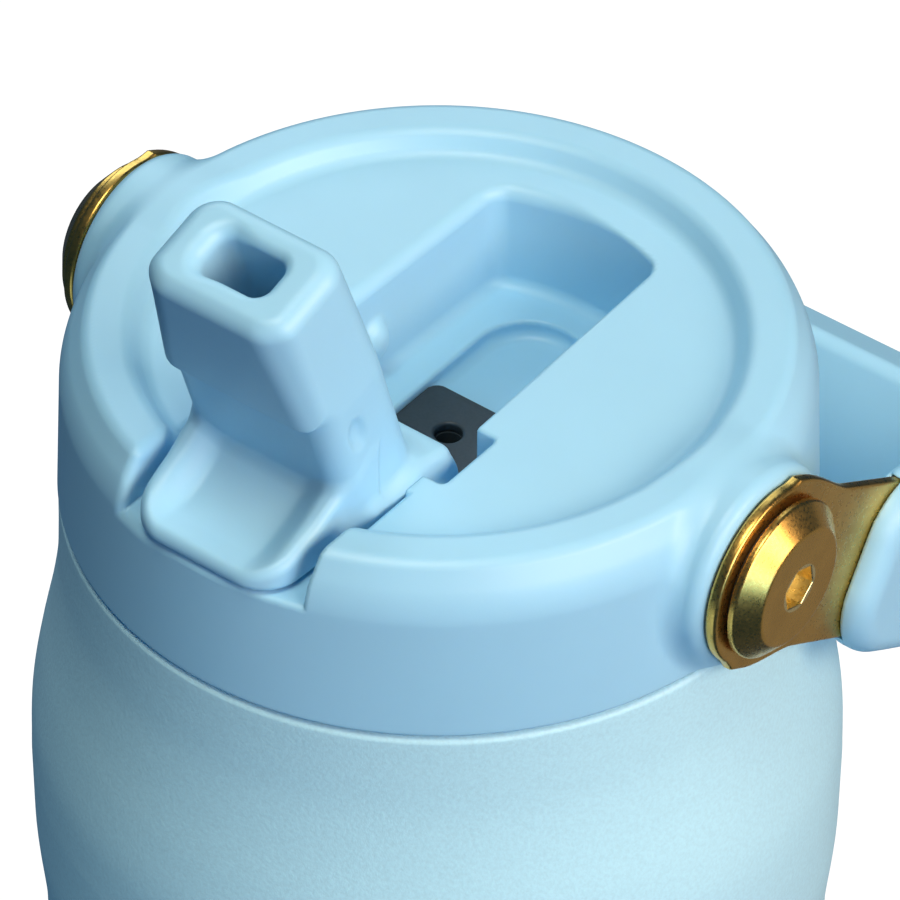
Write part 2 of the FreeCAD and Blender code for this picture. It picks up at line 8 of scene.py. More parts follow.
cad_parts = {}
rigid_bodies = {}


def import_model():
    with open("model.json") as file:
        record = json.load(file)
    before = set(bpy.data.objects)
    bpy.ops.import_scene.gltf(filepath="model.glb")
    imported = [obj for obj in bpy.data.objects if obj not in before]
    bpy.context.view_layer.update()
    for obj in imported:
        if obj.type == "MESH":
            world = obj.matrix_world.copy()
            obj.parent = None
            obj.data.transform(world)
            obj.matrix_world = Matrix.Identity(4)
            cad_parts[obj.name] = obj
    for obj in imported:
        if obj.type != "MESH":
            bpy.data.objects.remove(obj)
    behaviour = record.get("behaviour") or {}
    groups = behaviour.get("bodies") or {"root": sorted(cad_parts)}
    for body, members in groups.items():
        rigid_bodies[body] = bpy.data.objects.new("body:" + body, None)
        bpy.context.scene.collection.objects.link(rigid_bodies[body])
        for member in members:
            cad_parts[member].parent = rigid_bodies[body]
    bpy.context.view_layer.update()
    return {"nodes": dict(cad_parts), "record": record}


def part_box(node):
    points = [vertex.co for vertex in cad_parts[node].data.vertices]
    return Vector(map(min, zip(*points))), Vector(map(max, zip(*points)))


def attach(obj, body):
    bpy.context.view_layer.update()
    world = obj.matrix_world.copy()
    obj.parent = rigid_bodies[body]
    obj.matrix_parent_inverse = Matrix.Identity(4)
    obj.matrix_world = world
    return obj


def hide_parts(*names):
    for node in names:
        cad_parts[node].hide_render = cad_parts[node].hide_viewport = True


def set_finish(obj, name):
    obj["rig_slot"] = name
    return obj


# Large insulated water jug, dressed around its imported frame. Shapes are
# worked out in millimetres: x and y as in the frame, z above the joint line
# between flask and lid. Pieces are then placed in metres. In the names, R is
# a radius and W half a width. ROUND is the radius of an edge, FILLET that of
# an inner angle, and CORNER that of an outline's corner.

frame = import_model()
TO_METRES = 0.001
LID_LOW = 0.4
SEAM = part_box("lid_shell")[0].z / TO_METRES - LID_LOW
ABOVE = 60.0  # higher than anything on the lid

# flask: radius and depth down the shoulder's curve, then the wall below it
FLARE = [
    (58.4, 0.4),
    (58.6, 8.0),
    (59.1, 16.0),
    (60.5, 25.0),
    (62.6, 35.0),
    (64.1, 44.0),
    (64.6, 54.0),
]
SHOULDER_R, SHOULDER_DEPTH = FLARE[0]
BODY_R, BODY_DEPTH = FLARE[-1]
SHOULDER_ROUND = 0.9
SHOULDER_LAND = 3.0
NECK_HOLE_R = 49.2
NECK_DIP = 0.1
STEP_TOP = 66.0
STEP_END = 86.0
LOWER_R = 63.4
FOOT_ROUND = 7.0
FOOT_FLAT_R = 54.6
CAP_HOLE_R = 54.05
CAP_BEVEL = 0.4
FLASK_WALL = 0.8
SHELL_SEGMENTS = 256

# lid: its sides, band, ring and dished disc, from the bottom to the middle
LID_R = 58.5
LID_FOOT_ROUND = 0.7
LID_TOP_R = 57.3
BAND_Z = 24.4
BAND_ROUND = 1.6
RING_R = 53.3
RING_Z = 30.4
RING_IN_R = 47.0
RING_ROUND = 1.1
DISC_R = 44.4
DISC_Z = 26.9
DISC_FILLET = 1.0

# lid: the trough that the spout folds into, and the recess in its floor
TROUGH_FAR_R = 37.6
TROUGH_FAR_W = 15.4
TROUGH_NEAR_W = 16.5
TROUGH_FRONT_Y = -38.8
TROUGH_FLOOR = 8.0
TROUGH_CORNER = 2.2
TROUGH_FILLET = 2.0
TROUGH_ROUND_LEFT = 2.4
TROUGH_ROUND_RIGHT = 0.7
TROUGH_ROUND_SPAN = (-10, 8)
RECESS_W = 9.2
RECESS_FAR_Y = 31.6
RECESS_NEAR_Y = -9.5
RECESS_FLOOR = 5.0
RECESS_FILLET = 1.6
RECESS_ROUND = 0.6
BUMP_AT = (-16.4, 4.3, 15.6)
BUMP_SQUEEZE = (1.0, 0.8, 0.62)
BUMP_R = 2.4
BUMP_FILLET = 0.8

# lid: pockets for the spout's ears, and the front opening for its paddle
POCKET_W = 20.4
POCKET_Y0 = -25.2
POCKET_Y1 = -12.4
POCKET_BELOW_EAR = 0.6
POCKET_ROUND = 1.0
SLOT_PLAY = 0.5
SLOT_ROUND = 0.6
PIN_HOLE_END = 22.4
GATE_LEFT = -16.4
GATE_RIGHT = 17.4
GATE_BACK_Y = -30.0
GATE_FLOOR = 22.0
GATE_ROUND_LEFT = 2.0
GATE_ROUND_RIGHT = 0.8
GATE_ROUND_SPAN = (-12, 0)

# lid: the hollow inside and what stands in it
LID_WALL = 3.0
HOLLOW_LOW = -1.0
HOLLOW_BAND_Z = BAND_Z - 1.2
HOLLOW_RING_R = RING_R - 2.0
HOLLOW_ROUND = 0.3
CEILING_SHIFT = 0.5
PLUG_IN_R = 43.0
TUB_BASE = 2.2
TUB_FRONT_WALL = 9.0
TUB_ROUND = 0.5
APRON_Y = -36.0
APRON_LOW = 15.3
BOSS_CORE_X = 54.2
HOLE_TOP = TROUGH_FLOOR + 1.0
SEAL_R = 9.0
SEAL_Z = 6.0
SOCKET_R = 6.4
VENT_TUBE_R = 3.3
VENT_Y = 2.4

# vent pad
PAD_W = 9.1
PAD_Y0 = RECESS_NEAR_Y + 0.2
PAD_Y1 = 10.7
PAD_TOP = 6.8
PAD_CORNER = 2.2
PAD_ROUND = 0.35
PAD_HOLE_R = 2.2
PAD_HOLE_ROUND = 0.5

# pivots: bosses, inserts and screws
PIVOT_Z = 14.6
BOSS_R = 16.4
BOSS_X = 60.3
BOSS_ROUND = 2.2
BOSS_FILLET = 2.6
INSERT_R = 5.6
INSERT_X = 54.4
INSERT_HOLE_X = INSERT_X - 2.0
BUSH_R = 6.05
HEAD_R = 12.9
HEAD_X = 63.3
HEAD_LIP = 1.0
HEAD_FACE_R = 9.5
HEAD_FACE_X = 67.2
HEAD_ROUND = 0.22
SHANK_R = 4.0
HEX_AF = 6.4
HEX_TURN = 10.0
HEX_DEPTH = 3.4

# spout, in its own directions: along the mouthpiece, and to its front, towards the drinker
HINGE_Y = -25.0
HINGE_Z = 18.0
LEAN = math.radians(17.0)
TIP = 57.9
TIP_W = 13.0
TIP_ROUND = 3.0
BLOCK_W = 15.2
BACK = -4.7
BACK_ROUND = 5.0
FRONT = 13.2
FRONT_ROUND_LOW = 4.0
FRONT_ROUND_TIP = 5.6
CHIN = 34.6
CHIN_ROUND = 1.3
CHIN_FILLET = 0.6
FRONT_ROUND_START = CHIN - 4.0
NECK_FRONT = 11.4
SPOUT_HIGH = 75.0

# spout: barrel, ears and the shelf above them
BARREL_R = 10.0
BARREL_W = 15.9
EAR_R = 5.6
EAR_W = 19.6
BARREL_ROUND = 0.8
BARREL_FILLET = 3.0
EAR_FILLET = 1.6
PIN_R = 1.6
PIN_IN = 9.5
SHELF_W = 16.1
SHELF_Z = 27.3
SHELF_Y0 = HINGE_Y - 11.5
SHELF_Y1 = HINGE_Y + 6.5
SHELF_ROUND = 1.3
SHELF_FILLET = 2.6

# spout: thumb paddle, whose dish and side lips change along it
PADDLE_W = 14.6
PADDLE_TAPER = 0.9
PADDLE_ROOT_Y = -40.9
PADDLE_Y = -57.6
PADDLE_REAR_Y = HINGE_Y - 10.0
PADDLE_UNDER = GATE_FLOOR + 0.4
PADDLE_CORNER = 6.4
PADDLE_ROUND = 1.5
PADDLE_UNDER_ROUND = 1.2
PADDLE_FILLET = 1.8
DISH_Z = 25.5
DISH_RISE = 6.0
DISH_START = -0.3
DISH_END = 0.72
LIP_RISE = 2.9
LIP_SIDE = (7.2, 12.2)
LIP_GROWS = (-0.4, 0.25)
LIP_FADES = (0.45, 1.0)
LIP_LEAST = 0.25
TOP_STEEPNESS = 0.86

# spout: bore, and the dimple in its +X side
BORE_W = 6.2
BORE_HALF_T = 3.7
BORE_FRONT = 4.1
BORE_TAPER = 1.0
BORE_LOW = -13.0
BORE_HIGH = TIP + 1.0
BORE_CORNER = 2.4
BORE_ROUND = 0.4
MOUTH_ROUND_LEFT = 2.8
MOUTH_ROUND_RIGHT = 1.7
MOUTH_ROUND_SPAN = (TIP - 8.0, TIP - 2.0)
DIMPLE_X = BLOCK_W + 0.7
DIMPLE_ALONG = 28.0
DIMPLE_FRONT = 5.7
DIMPLE_STRETCH = (2.2, 1.2)
DIMPLE_R = 1.6
DIMPLE_ROUND = 0.5

# handle, in its own directions: reach from the pivot, and across the strap
HANDLE_DROP = math.radians(31.2)
EYE_R = 14.85
EYE_X = 60.6
EYE_FILLET = 5.0
EYE_HOLE_ROUND = 0.3
STRAP_T = 2.0
STRAP_W = 13.2
STRAP_END = 92.0
STRAP_CORNER = 19.6
STRAP_ROUND = 0.6
GRIP_START = 26.0
GRIP_IN = 83.0
GRIP_OUT = 97.4
GRIP_W = 15.4
GRIP_X_IN = 59.2
GRIP_X_OUT = 67.0
GRIP_CORNER = 24.0
GRIP_ROUND = 3.6
GRIP_ROUND_START = 4.4
GRIP_ROUND_END = GRIP_START + 16.0
GRIP_IN_ROUND = 2.6
GRIP_END_ROUND = 11.0
GRIP_PLAY = 0.02
GRIP_SLOT_ROUND = 0.6

# looks
BLUE = (0.35, 0.68, 0.90)
COAT_BLUE = (0.51, 0.86, 0.99)
BRASS = (0.77, 0.47, 0.115)
# painted highlight: a brighter brass colour inside the hex socket, standing in for the light that bounces
# in it, out to the radius below (mm) with a soft edge of the width after it
SOCKET_HIGHLIGHT_BRASS = (0.95, 0.79, 0.38)
SOCKET_HIGHLIGHT_R = 4.0
SOCKET_HIGHLIGHT_EDGE = 0.1
STEEL_DARK = (0.56, 0.56, 0.57)
STEEL_LIGHT = (0.68, 0.68, 0.69)
INNER_WHITE = (0.82, 0.84, 0.85)
STRAW_CLEAR = (0.78, 0.86, 0.9)
PALE_GREY = (0.72, 0.74, 0.74)
DARK_GREY = (0.026, 0.042, 0.055)
DARK_BROWN = (0.03, 0.022, 0.014)
FOAM_CELL = (0.9, 0.87, 0.78)
FOAM_WALL = (0.7, 0.67, 0.58)

# camera and studio, in metres, with the lens and the sensor in millimetres
CAMERA_LENS = 240
CAMERA_SENSOR = 36
CAMERA_AT = Vector((0.420996, -0.543768, 0.826712))
CAMERA_RIGHT = Vector((0.78940, 0.61386, 0.00524))
CAMERA_UP = Vector((-0.41001, 0.52086, 0.74873))
ROOM = 5.0
FLOOR_TONE = 0.2
FLOOR_GLOW = 0.93
BACKDROP_TONE = 0.1
BACKDROP_GLOW = 0.97
SKY = (0.014, 0.038, 0.085)
CENTRE = Vector((0, 0, 0.2))
LIGHT_REACH = 1.3
WARM = (1.0, 0.77, 0.62)
LIGHTS = [  # name, direction round from +X, height angle, width, power, colour
    ("key", 10, 30, 0.55, 8.7, WARM),
    ("front_key", -20, 30, 0.55, 7.9, WARM),
    ("low_fill", -20, 8, 0.5, 3.8, (0.32, 0.65, 1.0)),
    ("over_front", -80, 75, 0.5, 8.3, (1.0, 0.95, 0.78)),
    ("back", 140, 35, 0.8, 5.2, (0.75, 0.9, 1.0)),
]
CARDS = [  # name, place, aim, width, power, colour
    ("front_card", (0.0, -0.27, 0.02), (0.0, 0.0, 0.13), 0.2, 0.13, (0.62, 0.88, 1.0)),
    ("side_card", (0.22, 0.22, 0.01), (0.05, 0.03, 0.2), 0.45, 0.14, (1.0, 0.85, 0.62)),
]


# ---- fields: negative inside, roughly a distance in millimetres --------
def meet(a, b, radius):
    """Inside both, with their shared edge rounded."""
    corner = np.hypot(np.maximum(a + radius, 0), np.maximum(b + radius, 0))
    return np.minimum(-radius, np.maximum(a, b)) + corner


def join(a, b, radius):
    """Inside either, with their shared corner filled to a radius."""
    return -meet(-a, -b, radius)


def carve(a, b, radius):
    """Inside a but not b, with the edge left behind rounded."""
    return meet(a, -b, radius)


def ramp(value, start, end):
    """0 before start, 1 after end, smooth between."""
    t = np.clip((value - start) / (end - start), 0, 1)
    return t * t * (3 - 2 * t)


def mix(a, b, t):
    """a where t is 0, b where it is 1."""
    return a + (b - a) * t


def slope(r, z, r0, z0, r1, z1):
    """Distance outside the line from (r0, z0) to (r1, z1), whose right is out."""
    length = math.hypot(r1 - r0, z1 - z0)
    return ((r - r0) * (z1 - z0) - (z - z0) * (r1 - r0)) / length


def slab(value, low, high):
    """Distance outside the span from low to high."""
    return np.maximum(low - value, value - high)


def brick(x, y, z, x_span, y_span, z_span, radius):
    """Box with rounded upright edges and the same rounding below and above."""
    plan = meet(slab(x, *x_span), slab(y, *y_span), radius)
    return meet(plan, slab(z, *z_span), radius)


# ---- meshes from fields ------------------------------------------------
BLOCK = 8  # a block of the grid is this many cells wide
BLOCKS_AT_ONCE = 400
NEAR_BLOCKS = 1.25  # a block is worked out if its middle is this near the surface
FAR_VALUE = 99.0  # stands for the values in the other blocks
CUBE_CORNERS = [(0, 0, 0), (1, 0, 0), (0, 1, 0), (1, 1, 0), (0, 0, 1), (1, 0, 1), (0, 1, 1), (1, 1, 1)]
MARGIN_LOW = 1.37  # room left round a piece, in grid steps
MARGIN_HIGH = 2
SETTLE_ROUNDS = 4
SETTLE_MOVE = 0.4  # farthest that a point moves in a round, in grid steps
SETTLE_LIMIT = 0.75  # farthest that it moves in all
SETTLE_REACH = 0.08  # how far either side the field's slope is taken
NORMAL_REACH = 0.15
LEAST_SLOPE = 0.05  # keeps moves short where the field is nearly flat
TINY = 1e-9


def sample(field, low, high, step):
    """Field values on a grid, worked out only in blocks near the surface."""
    blocks = np.ceil((high - low) / (step * BLOCK)).astype(int) + 1
    index = np.stack(np.meshgrid(*[np.arange(n) for n in blocks], indexing="ij"), -1).reshape(-1, 3)
    centres = low + (index * BLOCK + (BLOCK - 1) / 2) * step
    rough = field(centres)
    near = np.abs(rough) < step * BLOCK * NEAR_BLOCKS + step
    values = np.repeat(np.where(rough < 0, -FAR_VALUE, FAR_VALUE), BLOCK ** 3)
    values = values.reshape(-1, BLOCK, BLOCK, BLOCK)
    inner = np.stack(np.meshgrid(*[np.arange(BLOCK)] * 3, indexing="ij"), -1).reshape(-1, 3)
    chosen = np.flatnonzero(near)
    for start in range(0, len(chosen), BLOCKS_AT_ONCE):
        part = chosen[start:start + BLOCKS_AT_ONCE]
        points = low + (index[part][:, None, :] * BLOCK + inner[None]) * step
        found = field(points.reshape(-1, 3))
        values[part] = found.reshape(-1, BLOCK, BLOCK, BLOCK)
    grid = values.reshape(*blocks, BLOCK, BLOCK, BLOCK).transpose(0, 3, 1, 4, 2, 5)
    return grid.reshape(*(blocks * BLOCK))


def net_points(values, where):
    """One point in each cell: the mean of where the cell's edges cross zero."""
    total = np.zeros((len(where), 3))
    hits = np.zeros(len(where))
    for a in CUBE_CORNERS:
        for axis in range(3):
            if a[axis]:
                continue
            b = list(a)
            b[axis] = 1
            va = values[tuple((where + a).T)]
            vb = values[tuple((where + b).T)]
            cut = (va < 0) != (vb < 0)
            t = np.where(cut, va / np.where(cut, va - vb, 1), 0)
            point = np.array(a, float) + t[:, None] * np.eye(3)[axis]
            total += np.where(cut[:, None], point, 0)
            hits += cut
    return where + total / hits[:, None]


def net_quads(inside, number):
    """One quad for each grid edge with one end inside, between the four cells round it."""
    quads = []
    for axis in range(3):
        u = (axis + 1) % 3
        v = (axis + 2) % 3
        first = [slice(1, -1)] * 3
        first[axis] = slice(0, -1)
        second = list(first)
        second[axis] = slice(1, None)
        start_in = inside[tuple(first)]
        change = start_in != inside[tuple(second)]
        at = np.argwhere(change)
        for k in (u, v):
            at[:, k] += 1
        back_u = np.eye(3, dtype=int)[u]
        back_v = np.eye(3, dtype=int)[v]
        ring = [at - back_u - back_v, at - back_v, at, at - back_u]
        quad = np.stack([number[tuple(c.T)] for c in ring], -1)
        flip = ~start_in[change]
        quad[flip] = quad[flip][:, ::-1]
        quads.append(quad)
    return np.concatenate(quads)


def net(values):
    """Surface net of a grid of values: points in cell units, and quads."""
    inside = values < 0
    cells = np.array(values.shape) - 1
    count = np.zeros(cells, np.int8)
    for dx, dy, dz in CUBE_CORNERS:
        count += inside[dx:dx + cells[0], dy:dy + cells[1], dz:dz + cells[2]]
    active = (count > 0) & (count < len(CUBE_CORNERS))
    where = np.argwhere(active)
    number = np.full(cells, -1, np.int32)
    number[active] = np.arange(len(where))
    return net_points(values, where), net_quads(inside, number)


def gradient(field, points, reach):
    """Slope of the field at points, from values a small reach either side."""
    found = np.zeros_like(points)
    for axis in range(3):
        shift = np.eye(3)[axis] * reach
        found[:, axis] = (field(points + shift) - field(points - shift)) / (2 * reach)
    return found


def settle(field, points, step):
    """Move the net's points onto the surface itself, a little at a time."""
    start = points.copy()
    for _ in range(SETTLE_ROUNDS):
        g = gradient(field, points, step * SETTLE_REACH)
        size = np.maximum((g * g).sum(1), LEAST_SLOPE)
        move = -field(points)[:, None] * g / size[:, None]
        length = np.linalg.norm(move, axis=1, keepdims=True)
        move *= np.minimum(1, step * SETTLE_MOVE / np.maximum(length, TINY))
        points = points + move
        away = points - start
        far = np.linalg.norm(away, axis=1, keepdims=True)
        points = start + away * np.minimum(1, step * SETTLE_LIMIT / np.maximum(far, TINY))
    return points


def mesh_object(name, points, faces, normals=None):
    """Object from points in millimetres above the joint line, and lists of corners."""
    mesh = bpy.data.meshes.new(name)
    place = (points + np.array([0, 0, SEAM])) * TO_METRES
    mesh.from_pydata(place.tolist(), [], faces)
    mesh.polygons.foreach_set("use_smooth", [True] * len(mesh.polygons))
    mesh.update()
    if normals is not None:
        mesh.normals_split_custom_set_from_vertices(normals.tolist())
    obj = bpy.data.objects.new(name, mesh)
    bpy.context.scene.collection.objects.link(obj)
    return obj


def sculpt(name, field, low, high, step, turn=np.eye(3), pivot=(0, 0, 0)):
    """Closed mesh of a field, with the field's own normals, turned from the
    directions that the field is drawn in and set down at a pivot."""
    low = np.array(low, float) - step * MARGIN_LOW
    high = np.array(high, float) + step * MARGIN_HIGH
    values = sample(field, low, high, step)
    points, quads = net(values)
    points = settle(field, low + points * step, step)
    normals = gradient(field, points, step * NORMAL_REACH)
    normals /= np.maximum(np.linalg.norm(normals, axis=1, keepdims=True), TINY)
    return mesh_object(name, points @ turn.T + np.array(pivot), quads.tolist(), normals @ turn.T)


def lathe(name, outline, segments):
    """Closed ring from an outline of (radius, height) points."""
    count = len(outline)
    angles = np.arange(segments) * 2 * math.pi / segments
    x = outline[None, :, 0] * np.cos(angles)[:, None]
    y = outline[None, :, 0] * np.sin(angles)[:, None]
    z = np.repeat(outline[None, :, 1], segments, 0)
    points = np.stack([x, y, z], -1).reshape(-1, 3)
    faces = []
    for i in range(segments):
        j = (i + 1) % segments
        for k in range(count):
            n = (k + 1) % count
            faces.append((i * count + k, j * count + k, j * count + n, i * count + n))
    return mesh_object(name, points, faces)


# ---- flask -------------------------------------------------------------
def curve_through(points, per_span):
    """Smooth line through a few points, by Catmull-Rom spans."""
    p = np.array(points, float)
    p = np.vstack([2 * p[0] - p[1], p, 2 * p[-1] - p[-2]])
    line = []
    for i in range(1, len(p) - 2):
        for t in np.arange(per_span) / per_span:
            a = 2 * p[i]
            b = p[i + 1] - p[i - 1]
            c = 2 * p[i - 1] - 5 * p[i] + 4 * p[i + 1] - p[i + 2]
            d = -p[i - 1] + 3 * p[i] - 3 * p[i + 1] + p[i + 2]
            line.append((a + b * t + c * t * t + d * t ** 3) / 2)
    line.append(p[-2])
    return line


def arc(centre_r, centre_z, radius, start, end, count):
    """Points about a centre, from one angle to another in degrees."""
    angles = np.radians(np.linspace(start, end, count))
    return [(centre_r + radius * math.cos(a), centre_z + radius * math.sin(a)) for a in angles]


def flask_outline():
    """Outer line of the flask from the neck hole down to the base cap."""
    top = -SHOULDER_DEPTH
    shoulder = [(SHOULDER_R, top - SHOULDER_ROUND)] + [(r, -depth) for r, depth in FLARE[1:]]
    foot = FOOT_ROUND - SEAM
    line = [(NECK_HOLE_R, top - NECK_DIP), (SHOULDER_R - SHOULDER_LAND, top)]
    line += arc(SHOULDER_R - SHOULDER_ROUND, top - SHOULDER_ROUND, SHOULDER_ROUND, 80, 10, 6)
    line += curve_through(shoulder, 8)
    line += [(BODY_R, mix(-BODY_DEPTH, -STEP_TOP, t)) for t in np.linspace(0.04, 1, 12)]
    for t in np.linspace(0.08, 1, 12):
        line.append((mix(BODY_R, LOWER_R, ramp(t, 0, 1)), mix(-STEP_TOP, -STEP_END, t)))
    line += [(LOWER_R, mix(-STEP_END, foot, t)) for t in np.linspace(0.05, 1, 20)]
    line += arc(LOWER_R - FOOT_ROUND, foot, FOOT_ROUND, -7.5, -90, 12)
    line += [(FOOT_FLAT_R, -SEAM), (CAP_HOLE_R, CAP_BEVEL - SEAM)]
    return np.array(line, float)


def make_shell():
    outer = flask_outline()
    tangent = np.gradient(outer, axis=0)
    tangent /= np.linalg.norm(tangent, axis=1, keepdims=True)
    inward = np.stack([tangent[:, 1], -tangent[:, 0]], -1)
    inner = outer + inward * FLASK_WALL
    shell = lathe("shell", np.vstack([outer, inner[::-1]]), SHELL_SEGMENTS)
    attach(shell, "flask")
    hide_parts("outer_shell")
    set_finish(shell, "coated_steel")


# ---- lid ---------------------------------------------------------------
def lid_outside(x, y, z):
    """The lid's whole outer form, with its dished disc and its bosses."""
    r = np.hypot(x, y)
    side = slope(r, z, LID_R, LID_LOW, LID_TOP_R, BAND_Z)
    band = slope(r, z, LID_TOP_R, BAND_Z, RING_R, RING_Z)
    form = meet(side, band, BAND_ROUND)
    form = meet(form, z - RING_Z, RING_ROUND)
    across = np.hypot(y, z - PIVOT_Z) - BOSS_R
    bosses = meet(across, np.abs(x) - BOSS_X, BOSS_ROUND)
    form = join(form, bosses, BOSS_FILLET)
    form = meet(form, LID_LOW - z, LID_FOOT_ROUND)
    dish = meet(DISC_Z - z, slope(r, z, DISC_R, DISC_Z, RING_IN_R, RING_Z), DISC_FILLET)
    return carve(form, dish, RING_ROUND)


def trough_side(x, y):
    """Distance outside the trough's side walls, which close in towards its far end."""
    t = np.clip((y - POCKET_Y1) / (TROUGH_FAR_R - POCKET_Y1), 0, 1)
    return np.abs(x) - mix(TROUGH_NEAR_W, TROUGH_FAR_W, t)


def trough_end(x, y):
    """Distance outside the trough's far wall, which curves about the lid's axis."""
    return np.hypot(x, np.maximum(y, 0)) - TROUGH_FAR_R


def trough_field(x, y, z):
    walls = meet(trough_side(x, y), trough_end(x, y), TROUGH_CORNER)
    trough = meet(walls, TROUGH_FLOOR - z, TROUGH_FILLET)
    return np.maximum(trough, TROUGH_FRONT_Y - y)


def gate_field(x, y, z):
    """Front opening in the ring, that the paddle passes through."""
    return np.maximum(slab(x, GATE_LEFT, GATE_RIGHT), np.maximum(y - GATE_BACK_Y, GATE_FLOOR - z))


def recess_field(x, y, z):
    """Deeper floor in the trough's middle, round at its far end."""
    round_end = np.hypot(x, np.maximum(y - (RECESS_FAR_Y - RECESS_W), 0)) - RECESS_W
    recess = np.maximum(slab(x, -RECESS_W, RECESS_W), round_end)
    recess = np.maximum(recess, RECESS_NEAR_Y - y)
    return meet(recess, RECESS_FLOOR - z, RECESS_FILLET)


def spout_slots(x, y, z):
    """Room for the spout's barrel, ears and hinge pins."""
    around = np.hypot(y - HINGE_Y, z - HINGE_Z)
    barrel = np.maximum(around - BARREL_R - SLOT_PLAY, np.abs(x) - TROUGH_NEAR_W)
    ears = np.maximum(around - EAR_R - SLOT_PLAY, np.abs(x) - POCKET_W)
    low = HINGE_Z - EAR_R - POCKET_BELOW_EAR
    slot = brick(x, y, z, (-POCKET_W, POCKET_W), (POCKET_Y0, POCKET_Y1), (low, ABOVE), POCKET_ROUND)
    pins = np.maximum(around - PIN_R, np.abs(x) - PIN_HOLE_END)
    return np.minimum(np.minimum(barrel, ears), np.minimum(slot, pins))


def bump_field(x, y, z):
    """Small bump on the trough's wall, on the -X side."""
    squared = 0
    for value, centre, squeeze in zip((x, y, z), BUMP_AT, BUMP_SQUEEZE):
        squared = squared + ((value - centre) * squeeze) ** 2
    return np.sqrt(squared) - BUMP_R


def lid_hollow(x, y, z):
    """Space inside the lid: under its top, and round the trough's tub and the bosses' cores."""
    r = np.hypot(x, y)
    flat = np.where(r > RING_IN_R, RING_Z, DISC_Z) - LID_WALL
    rise = ramp(r, DISC_R + CEILING_SHIFT, RING_IN_R + CEILING_SHIFT)
    ceiling = np.minimum(mix(DISC_Z - LID_WALL, RING_Z - LID_WALL, rise), flat)
    side_r = LID_TOP_R - LID_WALL
    side = slope(r, z, LID_R - LID_WALL, HOLLOW_LOW, side_r, HOLLOW_BAND_Z)
    band = slope(r, z, side_r, HOLLOW_BAND_Z, HOLLOW_RING_R, RING_Z - LID_WALL)
    hollow = np.maximum(np.maximum(side, z - ceiling), band)

    tub = np.maximum(trough_side(x, y) - LID_WALL, trough_end(x, y) - LID_WALL)
    tub = np.maximum(tub, r - PLUG_IN_R)
    ears = brick(x, y, z, (-POCKET_W - LID_WALL, POCKET_W + LID_WALL),
                 (POCKET_Y0 - TUB_FRONT_WALL, POCKET_Y1 + LID_WALL), (TUB_BASE, ABOVE), TUB_ROUND)
    tub = np.minimum(tub, ears)
    tub = np.maximum(tub, TUB_BASE - z)
    apron = np.maximum(np.abs(x) - GATE_RIGHT - LID_WALL, np.maximum(y - APRON_Y, APRON_LOW - z))
    hollow = np.maximum(hollow, -np.minimum(tub, apron))
    cores = np.maximum(np.hypot(y, z - PIVOT_Z) - BOSS_R, BOSS_CORE_X - np.abs(x))
    return np.maximum(hollow, -cores)


def lid_holes(x, y, z):
    """Sharp-edged holes for the straw's socket, the seal's seat, the vent and the inserts."""
    from_hinge = np.hypot(x, y - HINGE_Y)
    above = z - HOLE_TOP
    port = np.maximum(from_hinge - SOCKET_R, above)
    seat = np.maximum(np.maximum(from_hinge - SEAL_R, SEAL_Z - z), above)
    vent = np.maximum(np.hypot(x, y - VENT_Y) - VENT_TUBE_R, above)
    insert = np.maximum(np.hypot(y, z - PIVOT_Z) - INSERT_R, INSERT_HOLE_X - np.abs(x))
    return np.minimum(np.minimum(port, seat), np.minimum(vent, insert))


def lid_field(p):
    x, y, z = p.T
    trough_round = mix(TROUGH_ROUND_LEFT, TROUGH_ROUND_RIGHT, ramp(x, *TROUGH_ROUND_SPAN))
    gate_round = mix(GATE_ROUND_LEFT, GATE_ROUND_RIGHT, ramp(x, *GATE_ROUND_SPAN))
    form = lid_outside(x, y, z)
    form = carve(form, trough_field(x, y, z), trough_round)
    form = carve(form, gate_field(x, y, z), gate_round)
    form = carve(form, recess_field(x, y, z), RECESS_ROUND)
    form = carve(form, spout_slots(x, y, z), SLOT_ROUND)
    form = join(form, bump_field(x, y, z), BUMP_FILLET)
    form = carve(form, lid_hollow(x, y, z), HOLLOW_ROUND)
    return np.maximum(form, -lid_holes(x, y, z))


def make_lid():
    lid = sculpt("lid", lid_field, (-BOSS_X, -LID_R, LID_LOW), (BOSS_X, LID_R, RING_Z), step=0.6)
    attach(lid, "lid")
    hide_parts("lid_shell")
    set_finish(lid, "lid_plastic")


def pad_field(p):
    x, y, z = p.T
    form = meet(np.abs(x) - PAD_W, slab(y, PAD_Y0, PAD_Y1), PAD_CORNER)
    form = meet(form, slab(z, RECESS_FLOOR, PAD_TOP), PAD_ROUND)
    return carve(form, np.hypot(x, y - VENT_Y) - PAD_HOLE_R, PAD_HOLE_ROUND)


def make_pad():
    low = (-PAD_W, RECESS_NEAR_Y, RECESS_FLOOR)
    pad = sculpt("pad", pad_field, low, (PAD_W, PAD_Y1, PAD_TOP), step=0.3)
    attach(pad, "lid")
    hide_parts("vent_pad")
    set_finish(pad, "dark_silicone")


# ---- spout -------------------------------------------------------------
def mouthpiece(side, along, front):
    """Leaning block that narrows to its tip, with a chin that juts over its neck."""
    width = mix(BLOCK_W, TIP_W, np.clip((along - CHIN) / (TIP - CHIN), 0, 1))
    chin = meet(front - FRONT, CHIN - along, CHIN_ROUND)
    profile = join(chin, front - NECK_FRONT, CHIN_FILLET)
    front_round = mix(FRONT_ROUND_LOW, FRONT_ROUND_TIP, ramp(along, FRONT_ROUND_START, TIP))
    block = meet(side - width, profile, front_round)
    block = meet(block, BACK - front, BACK_ROUND)
    block = meet(block, along - TIP, TIP_ROUND)
    return np.maximum(block, -along)


